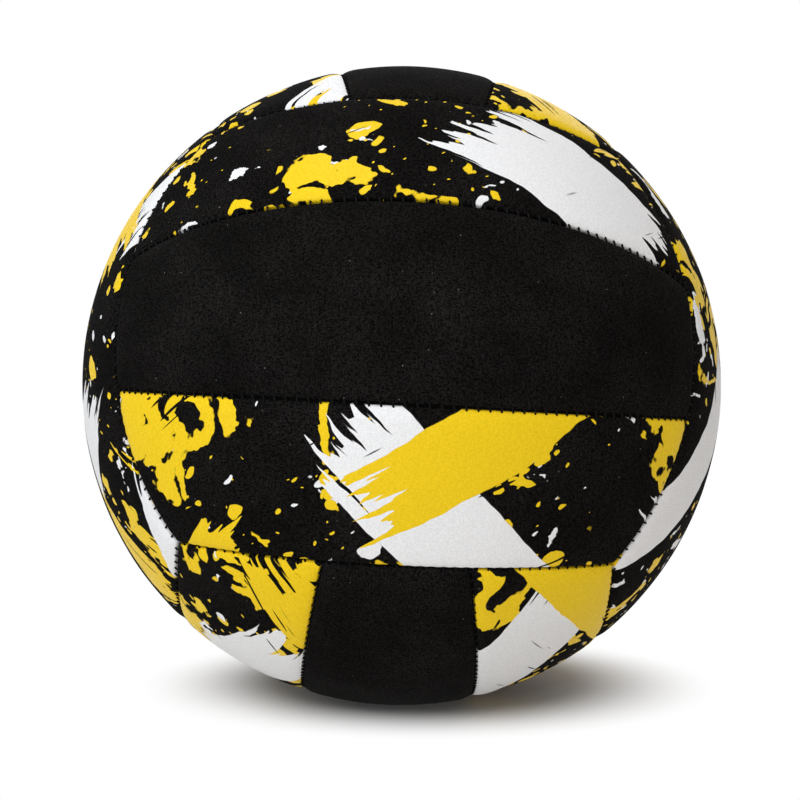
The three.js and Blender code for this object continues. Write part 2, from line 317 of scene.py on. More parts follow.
class ValveSizes(bpy.types.PropertyGroup):
    """Sizes of the valve in the back face."""

    neck: length_value("Neck", 0.0096, "Diameter of the valve's neck")
    recess: length_value("Recess", 0.0008, "Depth of the valve's top below the cover")
    dip: length_value("Dip", 0.0006, "How deep the cover is pressed in round the valve")
    dip_width: length_value("Dip width", 0.0016, "Width of the dip round the valve")
    flange: length_value("Flange", 0.026, "Diameter of the flange on the bladder")
    flange_thickness: length_value("Flange thickness", 0.0012, "Thickness of the flange")
    barrel: length_value("Barrel", 0.016, "Length of the barrel inside the bladder")
    plug: length_value("Plug", 0.0064, "Diameter of the plug's head")
    plug_head: length_value("Plug head", 0.0016, "Thickness of the plug's head")
    stem: length_value("Stem", 0.0044, "Diameter of the plug's stem")
    stem_length: length_value("Stem length", 0.015, "Length of the plug")
    needle: length_value("Needle hole", 0.0016, "Diameter of the needle hole")
    needle_depth: length_value("Needle depth", 0.012, "Depth of the needle hole")
    seat_round: length_value("Seat rounding", 0.0004, "Rounding of the seat's edges")
    plug_round: length_value("Plug rounding", 0.0003, "Rounding of the plug's edges")
    bladder_wall: length_value("Bladder wall", 0.001, "Thickness of the bladder")


class BallColours(bpy.types.PropertyGroup):
    """Colours of the ball's materials."""

    fabric: colour_value("Fabric", (0.0017, 0.0015, 0.0014), "Ground colour of the fabric")
    crowns: colour_value("Thread crowns", (0.0175, 0.0164, 0.0158), "Raised threads of the fabric")
    yellow: colour_value("Yellow ink", (0.9, 0.62, 0.014), "Yellow of the print")
    white: colour_value("White ink", (0.87, 0.88, 0.9), "White of the print")
    lint: colour_value("Lint", (0.18, 0.17, 0.16), "Pale fibres caught in the fabric")
    thread: colour_value("Thread", (0.0022, 0.0021, 0.002), "Sewing thread")
    foam: colour_value("Foam", (0.05, 0.05, 0.053), "Foam behind the covers")
    bladder: colour_value("Bladder", (0.021, 0.017, 0.015), "Rubber of the bladder")
    valve: colour_value("Valve", (0.012, 0.012, 0.013), "Rubber of the valve")
    floor: colour_value("Floor", (0.98, 0.955, 0.926), "Studio floor")


class StageSettings(bpy.types.PropertyGroup):
    """Camera and studio light."""

    distance: length_value("Camera distance", 0.3593, "Distance of the camera from the ball's centre")
    elevation: angle_value("Camera elevation", 4, "How far the camera looks down")
    aim_drop: length_value("Aim below centre", 0.0046, "How far below the ball's centre the camera aims")
    aim_left: length_value("Aim left of centre", 0.0005, "How far left of the centre the camera aims")
    lens: FloatProperty(name="Lens", description="Focal length", default=46.6, min=1, unit="CAMERA")
    key_power: power_value("Key light", 1.85, "Soft box at the front left")
    top_power: power_value("Top light", 2.8, "Soft box above the ball")
    fill_power: power_value("Fill light", 0.5, "Soft box at the front right")
    front_power: power_value("Front light", 5.2, "Wide soft box above the camera")
    back_power: power_value("Back light", 1.3, "Wide soft box behind the ball")
    pale_tint: colour_value("Pale tint", (0.97, 0.985, 1), "Colour of the front, top and back lights")
    cool_tint: colour_value("Cool tint", (0.8, 0.91, 1), "Colour of the key light")
    warm_tint: colour_value("Warm tint", (1, 0.9, 0.81), "Colour of the fill and ambient light")
    ambient: FloatProperty(name="Ambient", description="Light from all sides", default=0.2, min=0, max=1)


# Seam layout
def unit(vectors):
    """Vectors brought to a length of one."""
    return vectors / np.linalg.norm(vectors, axis=-1, keepdims=True)


def direction(longitude, latitude):
    """Unit vectors in a face's own frame: strips along x, width along y, normal on z."""
    flat = np.cos(latitude)
    return np.stack([flat * np.sin(longitude), np.sin(latitude), flat * np.cos(longitude)], -1)


class SeamLayout:
    """Where the seams of one face run on the ball."""

    def __init__(self, panels):
        self.face_half = panels.face_width / 2 / BALL_RADIUS
        self.strip_half = panels.centre_width / 2 / BALL_RADIUS
        self.strip_end_half = panels.centre_end_width / 2 / BALL_RADIUS
        self.strip_reach = math.pi / 2 - self.face_half

    def face_edge(self, longitude):
        """The long edge of a face, which ends in the corners that three faces share."""
        share = longitude / CORNER_LONGITUDE
        return self.face_half + (CORNER_LATITUDE - self.face_half) * share**2

    def strip_seam(self, longitude):
        """The seam between the centre strip and an outer strip."""
        share = longitude / self.strip_reach
        return self.strip_half + (self.strip_end_half - self.strip_half) * share**2

    def edges(self, strip, longitude):
        """Latitudes of a strip's two long edges."""
        seam = self.strip_seam(longitude)
        if strip == "centre":
            return -seam, seam
        return seam, self.face_edge(longitude)

    def end_longitude(self, strip, share):
        """Where a line along the strip meets the long edge of the next face."""
        inside = np.zeros_like(share)
        outside = np.full_like(share, math.pi / 2)
        for _ in range(SEARCH_PASSES):
            middle = (inside + outside) / 2
            low, high = self.edges(strip, middle)
            x, y, z = np.moveaxis(direction(middle, low + share * (high - low)), -1, 0)
            on_strip = np.arcsin(z) > self.face_edge(np.arctan2(y, x))
            inside = np.where(on_strip, middle, inside)
            outside = np.where(on_strip, outside, middle)
        return inside

    def strip_run(self):
        """Places along a strip seam, and the unit vectors there."""
        end = float(self.end_longitude("centre", np.array(1.0)))
        places = np.linspace(-end, end, SEAM_SAMPLES)
        return places, direction(places, self.strip_seam(places))

    def face_run(self):
        """Places along the long edge of a face, and the unit vectors there."""
        places = np.linspace(-CORNER_LONGITUDE, CORNER_LONGITUDE, SEAM_SAMPLES)
        return places, direction(places, self.face_edge(places))


def distances_from_middle(run):
    """Lengths in metres along a line of unit vectors, measured from its middle one."""
    steps = np.linalg.norm(np.diff(run * BALL_RADIUS, axis=0), axis=1)
    lengths = np.concatenate([[0], np.cumsum(steps)])
    return lengths - lengths[len(lengths) // 2]


def line_rule(insets, cells):
    """Distance of each grid line from one edge, as a fixed part and a share of the full width."""
    deepest = insets[-1]
    near = [(inset, 0) for inset in insets]
    between = [(deepest * (1 - 2 * cell / cells), cell / cells) for cell in range(1, cells)]
    far = [(-inset, 1) for inset in reversed(insets)]
    return np.array(near + between + far, float)


class PanelGrid:
    """Crossings of the lines of a panel's grid, with their distances from its edges."""

    def __init__(self, layout, strip, insets, step):
        width = 2 * layout.strip_half if strip == "centre" else layout.face_half - layout.strip_half
        rows = line_rule(insets, self.cells(width * BALL_RADIUS, step))
        columns = line_rule(insets, self.cells(2 * layout.strip_reach * BALL_RADIUS, step))
        self.longitude = np.zeros((len(rows), len(columns)))
        for _ in range(PLACING_PASSES):
            self.cross(layout, strip, rows, columns)
        self.normal = direction(self.longitude, self.latitude)
        self.find_seam_places(layout, strip)

    @staticmethod
    def cells(length, step):
        """Number of cells, a multiple of the coarser inner skin's."""
        return INNER_SKIP * max(1, round(length / step / INNER_SKIP))

    def cross(self, layout, strip, rows, columns):
        """One pass of placing the crossings, because each line's place depends on the other's."""
        low, high = layout.edges(strip, self.longitude)
        width = (high - low) * BALL_RADIUS
        self.from_low = rows[:, :1] + rows[:, 1:] * width
        self.from_high = width - self.from_low
        share = self.from_low / width
        self.latitude = low + share * (high - low)
        end = layout.end_longitude(strip, share)
        length = 2 * end * BALL_RADIUS * np.cos(self.latitude)
        from_start = columns[:, 0] + columns[:, 1] * length
        self.longitude = end * (2 * from_start / length - 1)
        self.from_side = np.minimum(self.from_low, self.from_high)
        self.from_end = np.minimum(from_start, length - from_start)

    def find_seam_places(self, layout, strip):
        """Distances along the seams beside each crossing, measured from the seam's middle."""
        places, run = layout.strip_run()
        along_strip = np.interp(self.longitude, places, distances_from_middle(run))
        places, run = layout.face_run()
        to_face = distances_from_middle(run)
        along_face = np.interp(self.longitude, places, to_face)
        turn = np.arctan2(self.normal[..., 1], np.abs(self.normal[..., 0]))
        self.low_place = along_strip
        self.high_place = along_strip if strip == "centre" else along_face
        self.end_place = np.interp(turn, places, to_face)

    def flat_places(self):
        """Where each crossing lay on the flat cloth, in metres."""
        along = self.longitude * np.cos(self.latitude) * BALL_RADIUS
        return np.stack([along, self.latitude * BALL_RADIUS], -1)


# Panel surfaces
def soft_share(distance, panels):
    """How much of its fall the padding has made at a distance from a seam."""
    return np.clip(1 - distance / (SHOULDER_SPAN * panels.shoulder_width), 0, 1) ** 3


def roll_share(distance, panels):
    """How far into the rolled edge a place at a distance from a seam lies."""
    return np.clip(1 - (distance - panels.seam_gap / 2) / panels.roll_width, 0, 1)


def quarter_round(share, panels):
    """Depth of the rolled edge at a share of its width."""
    return panels.roll_depth * (1 - np.sqrt(1 - share**2))


def stitch_pull(distance, stitches):
    """How deep a stitch pulls the cover in at a distance from the seam."""
    return stitches.pucker * np.exp(-((distance / stitches.pucker_width) ** 2))


def shoulder_drop(grid, panels):
    """The padding falls off softly towards the seams."""
    across = soft_share(grid.from_side, panels)
    along = soft_share(grid.from_end, panels)
    return panels.shoulder_drop * (across + along - across * along)


def roll_drop(grid, panels):
    """The cover's edges roll under in a quarter round."""
    inwards = np.hypot(roll_share(grid.from_side, panels), roll_share(grid.from_end, panels))
    return quarter_round(np.clip(inwards, 0, 1), panels)


def pucker_drop(grid, stitches):
    """Each stitch pulls the cover in beside the seam."""
    drop = np.zeros_like(grid.longitude)
    for distance, place in (
        (grid.from_low, grid.low_place),
        (grid.from_high, grid.high_place),
        (grid.from_end, grid.end_place),
    ):
        share = 0.5 + 0.5 * np.cos(math.tau * place / stitches.pitch)
        drop += share * stitch_pull(distance, stitches)
    return drop


def sway_drop(grid, panels, seed):
    """Slow unevenness of the padding, different on each panel."""
    draws = np.random.default_rng(seed)
    flat = grid.flat_places()
    total = np.zeros_like(grid.longitude)
    for _ in range(SWAY_WAVES):
        turn = draws.uniform(0, math.tau)
        wave = draws.uniform(*SWAY_LENGTHS)
        start = draws.uniform(0, math.tau)
        run = flat[..., 0] * math.cos(turn) + flat[..., 1] * math.sin(turn)
        total += np.sin(math.tau * run / wave + start)
    return panels.sway * (0.5 + 0.5 * total / SWAY_WAVES)


def valve_dip(grid, valve):
    """The cover is pressed in round the valve."""
    away = np.linalg.norm(grid.flat_places(), axis=-1)
    return valve.dip * np.exp(-(((away - valve.neck / 2) / valve.dip_width) ** 2))


def grid_normals(points):
    """Unit normals of a grid of points, facing away from the ball's centre."""
    return unit(np.cross(np.gradient(points, axis=1), np.gradient(points, axis=0)))


def grid_faces(numbers):
    """Four-sided faces of a grid of vertex numbers."""
    corners = (numbers[:-1, :-1], numbers[:-1, 1:], numbers[1:, 1:], numbers[1:, :-1])
    return np.stack(corners, -1).reshape(-1, 4).tolist()


def rim_numbers(numbers):
    """Vertex numbers once round the rim of a grid, from its first corner back to it."""
    sides = (numbers[0, :-1], numbers[:-1, -1], numbers[-1, :0:-1], numbers[::-1, 0])
    return np.concatenate(sides).tolist()


def thinned(points):
    """The coarser grid of an inner skin."""
    return points[::INNER_SKIP, ::INNER_SKIP]


def sheet_between(outer, inner):
    """Vertices and faces of a closed sheet between an outer grid and a thinned inner one."""
    outer_numbers = np.arange(outer[..., 0].size).reshape(outer.shape[:2])
    inner_numbers = np.arange(inner[..., 0].size).reshape(inner.shape[:2]) + outer_numbers.size
    faces = grid_faces(outer_numbers) + grid_faces(inner_numbers.T)
    outer_rim = rim_numbers(outer_numbers)
    inner_rim = rim_numbers(inner_numbers)
    for place in range(len(inner_rim) - 1):
        first = place * INNER_SKIP
        stretch = outer_rim[first : first + INNER_SKIP + 1]
        faces.append(stretch[::-1] + inner_rim[place : place + 2])
    return np.concatenate([outer.reshape(-1, 3), inner.reshape(-1, 3)]), faces


def face_frames(panels):
    """Each face's name, its frame on the lying ball, and the names of its outer strips."""
    roll = Matrix.Rotation(panels.roll_right, 4, "Y")
    turn = Matrix.Rotation(panels.turn_left, 4, "Z")
    ball = roll @ turn @ Matrix.Rotation(-panels.tip_back, 4, "X")
    for name, along, across, sides in FACES:
        normal = Vector(along).cross(Vector(across))
        yield name, ball @ Matrix((along, across, normal)).transposed().to_4x4(), sides


# Pieces
def add_piece(name, shape, place, material, node, cloth=None):
    """Makes one mesh of the ball, which rides on the body and stands for its packed node."""
    vertices, faces = shape
    mesh = bpy.data.meshes.new(name)
    mesh.from_pydata(vertices, [], faces)
    mesh.transform(place)
    mesh.shade_smooth()
    if cloth is not None:
        corners = np.fromiter((number for face in faces for number in face), int)
        layer = mesh.uv_layers.new(name=CLOTH_MAP)
        layer.data.foreach_set("uv", cloth[corners].astype(np.float32).ravel())
    mesh.materials.append(material)
    piece = bpy.data.objects.new(name, mesh)
    bpy.context.scene.collection.objects.link(piece)
    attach(piece, "root")
    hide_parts(node)
    return piece


def cut_round(piece, place, diameter, high):
    """Cuts a round hole along the valve's axis up to a height, and welds the vertices of its rim."""
    half_side = Matrix.Rotation(math.pi / TURNED_SIDES, 4, "Z")
    cutter_mesh = bpy.data.meshes.new("cutter")
    shape = bmesh.new()
    bmesh.ops.create_cone(
        shape,
        cap_ends=True,
        segments=TURNED_SIDES,
        radius1=diameter / 2,
        radius2=diameter / 2,
        depth=high,
        matrix=place @ Matrix.Translation((0, 0, high / 2)) @ half_side,
    )
    shape.to_mesh(cutter_mesh)
    shape.free()
    cutter = bpy.data.objects.new("cutter", cutter_mesh)
    bpy.context.scene.collection.objects.link(cutter)
    hole = piece.modifiers.new("hole", "BOOLEAN")
    hole.operation = "DIFFERENCE"
    hole.solver = "EXACT"
    hole.object = cutter
    graph = bpy.context.evaluated_depsgraph_get()
    cut_mesh = bpy.data.meshes.new_from_object(piece.evaluated_get(graph))
    if len(cut_mesh.polygons) < len(piece.data.polygons) / 2:
        raise RuntimeError(f"the hole could not be cut in {piece.name}")
    shape = bmesh.new()
    shape.from_mesh(cut_mesh)
    to_axis = place.inverted()
    reach = RIM_SHARE * diameter
    near = [vertex for vertex in shape.verts if (to_axis @ vertex.co).xy.length < reach]
    bmesh.ops.remove_doubles(shape, verts=near, dist=RIM_WELD)
    shape.to_mesh(cut_mesh)
    shape.free()
    piece.modifiers.clear()
    piece.data = cut_mesh
    bpy.data.objects.remove(cutter)


def cover_insets(panels):
    """Grid lines at even turns round the rolled edge."""
    turns = np.linspace(0, math.pi / 2, ROLL_LINES + 1)
    return list(panels.seam_gap / 2 + panels.roll_width * (1 - np.cos(turns)))


def add_cover(context, grid, name, place, material, number):
    """One padded cover panel, cut from its own place on the roll of cloth."""
    scene = context.scene
    panels = scene.ball_panels
    valve = scene.ball_valve
    drop = shoulder_drop(grid, panels) + roll_drop(grid, panels)
    drop += pucker_drop(grid, scene.ball_stitches) + sway_drop(grid, panels, number)
    if name == VALVE_STRIP:
        drop += valve_dip(grid, valve)
    outer = grid.normal * (BALL_RADIUS - drop)[..., None]
    sunk = outer - panels.cover_thickness * grid_normals(outer)
    flat = grid.flat_places() + np.array(CLOTH_STEP) * (number + 1)
    cloth = np.concatenate([flat.reshape(-1, 2), thinned(flat).reshape(-1, 2)])
    shape = sheet_between(outer, thinned(sunk))
    piece = add_piece(f"{name}_panel", shape, place, material, f"{name}_cover", cloth)
    if name == VALVE_STRIP:
        cut_round(piece, place, valve.neck + 2 * LAYER_GAP, 2 * BALL_RADIUS)


def add_foam(context, grid, name, place, material):
    """The foam behind one cover."""
    scene = context.scene
    panels = scene.ball_panels
    valve = scene.ball_valve
    top = BALL_RADIUS - panels.cover_thickness - LAYER_GAP
    soft = shoulder_drop(grid, panels) + panels.sway + scene.ball_stitches.pucker
    outer = grid.normal * (top - soft)[..., None]
    inner = thinned(grid.normal) * (BALL_RADIUS - panels.roll_depth)
    shape = sheet_between(outer, inner)
    piece = add_piece(f"{name}_padding", shape, place, material, f"{name}_foam")
    if name == VALVE_STRIP:
        above_flange = BLADDER_RADIUS + valve.flange_thickness + 2 * LAYER_GAP
        cut_round(piece, place, valve.neck + 2 * LAYER_GAP, 2 * BALL_RADIUS)
        cut_round(piece, place, valve.flange + 2 * LAYER_GAP, above_flange)


# Stitches
def tube(path, side, radius):
    """Rings of a round tube along a path. Side gives each point's first cross direction."""
    ahead = unit(np.gradient(path, axis=0))
    up = unit(np.cross(ahead, side))
    across = np.cross(up, ahead)
    turns = np.linspace(0, math.tau, THREAD_SIDES, endpoint=False)[:, None]
    return path[:, None] + radius * (np.cos(turns) * across[:, None] + np.sin(turns) * up[:, None])


def joined_tubes(tubes):
    """Vertices and faces of many closed tubes."""
    faces = []
    first = 0
    for rings in tubes:
        numbers = np.arange(rings[..., 0].size).reshape(rings.shape[:2]) + first
        looped = np.concatenate([numbers, numbers[:, :1]], axis=1)
        faces += grid_faces(looped) + [numbers[0, ::-1].tolist(), numbers[-1].tolist()]
        first += numbers.size
    return np.concatenate([rings.reshape(-1, 3) for rings in tubes]), faces


def seam_drop(distance, panels, stitches):
    """How deep the cover lies under the ball's round surface beside a stitch."""
    rolled = quarter_round(roll_share(distance, panels), panels)
    soft = panels.shoulder_drop * soft_share(distance, panels)
    return rolled + soft + stitch_pull(distance, stitches)


def seam_runs(layout):
    """Unit vectors along the four seams that one face's thread sews, two along and two at its ends."""
    _, strip = layout.strip_run()
    _, edge = layout.face_run()
    for side in (-1, 1):
        yield strip * np.array([1, side, 1])
        yield np.stack([side * edge[:, 2], edge[:, 0], edge[:, 1]], -1)


def at_lengths(wanted, lengths, line):
    """Unit vectors of a line at some lengths along it."""
    return unit(np.stack([np.interp(wanted, lengths, part) for part in line.T], -1))


def sew_seam(run, panels, stitches, reach, draws):
    """Tubes of the stitches and of the thread under them along one seam."""
    lengths = distances_from_middle(run)
    usable = lengths[-1] - reach
    count = int(usable // stitches.pitch)
    places = np.arange(-count, count + 1) * stitches.pitch
    steps = np.array(STITCH_STEPS) * reach
    at_hole = seam_drop(reach, panels, stitches)
    heights = BALL_RADIUS - at_hole - np.array(STITCH_DEPTHS) * stitches.thread
    points = at_lengths(places, lengths, run)
    headings = at_lengths(places, lengths, np.gradient(run, axis=0))
    tubes = []
    for point, ahead in zip(points, headings):
        lean = stitches.lean + draws.normal(0, LEAN_SPREAD)
        across = np.cross(point, ahead) * math.cos(lean) + ahead * math.sin(lean)
        path = point * heights[:, None] + across * steps[:, None]
        tubes.append(tube(path, np.cross(across, point), stitches.thread / 2))
    fine = np.arange(-usable, usable, stitches.pitch / 2)
    line = at_lengths(fine, lengths, run)
    waver = THREAD_WAVER * stitches.under_thread * np.cos(math.tau * fine / stitches.pitch)
    path = line * (BALL_RADIUS - stitches.groove_depth + waver)[:, None]
    side = np.cross(line, np.gradient(line, axis=0))
    tubes.append(tube(path, side, stitches.under_thread / 2))
    return tubes


# Turned pieces
def turned(outline):
    """Vertices and faces of a turned piece, from a closed outline that goes down its outside."""
    turns = np.linspace(0, math.tau, TURNED_SIDES, endpoint=False)
    radius, height = np.array(outline).T[..., None]
    x = radius * np.cos(turns)
    y = radius * np.sin(turns)
    z = np.broadcast_to(height, x.shape)
    looped = np.pad(np.arange(x.size).reshape(x.shape), (0, 1), mode="wrap")
    return np.stack([x, y, z], -1).reshape(-1, 3), grid_faces(looped.T)


def rounded(corners, radius):
    """A closed outline with its corners rounded off."""
    corners = np.array(corners, float)
    outline = []
    for here, before, after in zip(corners, np.roll(corners, 1, axis=0), np.roll(corners, -1, axis=0)):
        shorter = min(math.dist(here, before), math.dist(here, after))
        room = min(radius, CORNER_SHARE * shorter)
        start = here + room * unit(before - here)
        end = here + room * unit(after - here)
        for share in np.linspace(0, 1, CORNER_STEPS):
            outline.append((1 - share) ** 2 * start + 2 * share * (1 - share) * here + share**2 * end)
    return outline


def arc_line(radius, first, last):
    """Points of a round line: distances from the axis, between two of them, and heights."""
    places = np.linspace(first, last, FLANGE_STEPS)
    return np.stack([places, np.sqrt(radius**2 - places**2)], -1)


# Shader nodes
class NodeTable:
    """Adds nodes to one tree and wires them up as they are named."""

    def __init__(self, tree):
        self.tree = tree

    def add(self, kind, inputs=None, **settings):
        """A new node in the next place of the table, with its settings, and its inputs fed."""
        row, column = divmod(len(self.tree.nodes), NODES_IN_ROW)
        node = self.tree.nodes.new(kind)
        node.location = (NODE_STEP[0] * column, NODE_STEP[1] * row)
        for name, value in settings.items():
            setattr(node, name, value)
        for name, value in (inputs or {}).items():
            self.feed(node.inputs[name], value)
        return node

    def feed(self, socket, value):
        """Links a socket to another, or sets its value."""
        if isinstance(value, bpy.types.NodeSocket):
            self.tree.links.new(value, socket)
        else:
            socket.default_value = value

    def math(self, operation, *values):
        """The result of a sum on values or sockets."""
        return self.add("ShaderNodeMath", dict(enumerate(values)), operation=operation).outputs[0]

    def times(self, first, *others):
        """The product of values or sockets."""
        for other in others:
            first = self.math("MULTIPLY", first, other)
        return first

    def plus(self, first, *others):
        """The sum of values or sockets."""
        for other in others:
            first = self.math("ADD", first, other)
        return first

    def minus(self, first, second):
        """The difference of two values or sockets."""
        return self.math("SUBTRACT", first, second)

    def off_middle(self, value, reach):
        """Moves a value from 0 to 1 to a length on either side of nothing."""
        return self.times(self.minus(value, 0.5), reach)

    def vector_math(self, operation, *values):
        """The result of a sum on vectors."""
        return self.add("ShaderNodeVectorMath", dict(enumerate(values)), operation=operation).outputs[0]

    def scaled(self, vector, scale):
        """A vector times a number."""
        inputs = {0: vector, "Scale": scale}
        return self.add("ShaderNodeVectorMath", inputs, operation="SCALE").outputs[0]

    def rotated(self, vector, angle):
        """Places turned on the cloth."""
        inputs = {"Vector": vector, "Angle": angle}
        return self.add("ShaderNodeVectorRotate", inputs, rotation_type="Z_AXIS").outputs[0]

    def split(self, vector):
        """The three parts of a vector or colour."""
        return self.add("ShaderNodeSeparateXYZ", {0: vector}).outputs

    def join(self, *parts):
        """A vector from its three parts."""
        return self.add("ShaderNodeCombineXYZ", dict(enumerate(parts))).outputs[0]

    def noise(self, vector, scale, detail=2.0, roughness=0.5, output="Fac"):
        """Smooth noise, from 0 to 1."""
        inputs = {"Vector": vector, "Scale": scale, "Detail": detail, "Roughness": roughness}
        return self.add("ShaderNodeTexNoise", inputs).outputs[output]

    def pushed(self, place, at, scale, detail, roughness, reach):
        """Places moved by smooth noise at some other places, by up to half a reach each way."""
        bend = self.noise(at, scale, detail, roughness, output="Color")
        off_middle = self.vector_math("SUBTRACT", bend, (0.5, 0.5, 0.5))
        return self.vector_math("ADD", place, self.scaled(off_middle, reach))

    def seeded(self, place, seed, salt):
        """Places moved to another part of a pattern for each seed."""
        return self.vector_math("ADD", place, self.join(seed, self.times(seed, salt), 0.0))

    def cells(self, vector, scale, dimensions="2D"):
        """Distance and random colour of the nearest of many scattered points."""
        inputs = {"Vector": vector, "Scale": scale}
        return self.add("ShaderNodeTexVoronoi", inputs, voronoi_dimensions=dimensions).outputs

    def chance(self, *parts):
        """Three even random values for each different vector."""
        node = self.add("ShaderNodeTexWhiteNoise", {"Vector": self.join(*parts)})
        return self.split(node.outputs["Color"])

    def spread(self, value, span, to=FULL_SPAN, smooth=True):
        """Maps a span of values to another, and holds it at both ends."""
        names = ("Value", "From Min", "From Max", "To Min", "To Max")
        kind = "SMOOTHSTEP" if smooth else "LINEAR"
        inputs = dict(zip(names, (value, *span, *to)))
        return self.add("ShaderNodeMapRange", inputs, interpolation_type=kind).outputs["Result"]

    def blend(self, factor, first, second):
        """Mixes two colours."""
        inputs = {"Factor": factor, "A": first, "B": second}
        return self.add("ShaderNodeMix", inputs, data_type="RGBA").outputs["Result"]

    def group(self, build, **values):
        """Places a node group, which is built once and then used again, and feeds its named inputs."""
        name = build.__name__.replace("_", " ").capitalize()
        tree = bpy.data.node_groups.get(name) or build(name)
        return self.add("ShaderNodeGroup", values, node_tree=tree).outputs


def new_group(name, *outputs, **inputs):
    """An empty node group with named sockets: its table, and its input and output sockets."""
    tree = bpy.data.node_groups.new(name, "ShaderNodeTree")
    for label, default in inputs.items():
        size = 1 if isinstance(default, float) else len(default)
        kind = {1: "NodeSocketFloat", 3: "NodeSocketVector", 4: "NodeSocketColor"}[size]
        tree.interface.new_socket(label, in_out="INPUT", socket_type=kind).default_value = default
    for label in outputs:
        kind = "NodeSocketColor" if label == "Colour" else "NodeSocketFloat"
        tree.interface.new_socket(label, in_out="OUTPUT", socket_type=kind)
    table = NodeTable(tree)
    return table, table.add("NodeGroupInput").outputs, table.add("NodeGroupOutput").inputs


def lint_specks(table, cloth):
    """Mask of sparse pale fibres caught in the cloth."""
    cells = table.cells(cloth, 1 / LINT_SPACING)
    away = table.times(cells["Distance"], LINT_SPACING)
    kept, strength, _ = table.split(cells["Color"])
    speck = table.spread(away, (LINT_SIZE, LINT_CORE * LINT_SIZE))
    return table.times(speck, table.math("GREATER_THAN", kept, LINT_LEFT_OUT), strength)


def woven_fabric(name):
    """Uneven crossing threads with worn crowns and a little lint."""
    outputs = ("Colour", "Roughness", "Height", "Tops")
    colours = dict.fromkeys(("Ground", "Crowns", "Lint"), BLACK)
    table, given, out = new_group(name, *outputs, Vector=ORIGIN, Threads=WEAVE_THREADS, **colours)
    cloth = given["Vector"]
    fine = given["Threads"]
    drawn_out = table.times(fine, THREAD_DRAW)
    lengthwise = table.vector_math("MULTIPLY", cloth, table.join(drawn_out, fine, 1.0))
    crosswise = table.vector_math("MULTIPLY", cloth, table.join(fine, drawn_out, 1.0))
    warp = table.noise(lengthwise, scale=1, detail=1)
    weft = table.noise(table.vector_math("ADD", crosswise, WEFT_SHIFT), scale=1, detail=1)
    height = table.math("MAXIMUM", warp, weft)
    patchy = table.noise(cloth, WEAVE_PATCHES, detail=1, roughness=0.6)
    raised = table.plus(table.times(patchy, PATCH_LIFT), table.times(height, THREAD_LIFT))
    tops = table.spread(raised, CROWN_SPAN)
    worn = table.noise(cloth, WEAR_PATCHES, detail=3, roughness=0.55)
    crowns = table.times(tops, table.spread(worn, WEAR_SPAN, WEAR_LEFT))
    colour = table.blend(crowns, given["Ground"], given["Crowns"])
    table.feed(out["Colour"], table.blend(lint_specks(table, cloth), colour, given["Lint"]))
    table.feed(out["Roughness"], table.spread(tops, FULL_SPAN, WEAVE_ROUGHNESS))
    table.feed(out["Height"], height)
    table.feed(out["Tops"], tops)
    return table.tree


def rubber_grain(name):
    """Fine grain of moulded rubber, and the slow patches of its bloom."""
    table, given, out = new_group(name, "Grain", "Bloom", Vector=ORIGIN, Grains=BLADDER_GRAINS)
    patches = table.math("DIVIDE", given["Grains"], GRAINS_IN_BLOOM)
    table.feed(out["Grain"], table.noise(given["Vector"], given["Grains"], detail=3, roughness=0.6))
    table.feed(out["Bloom"], table.noise(given["Vector"], patches))
    return table.tree


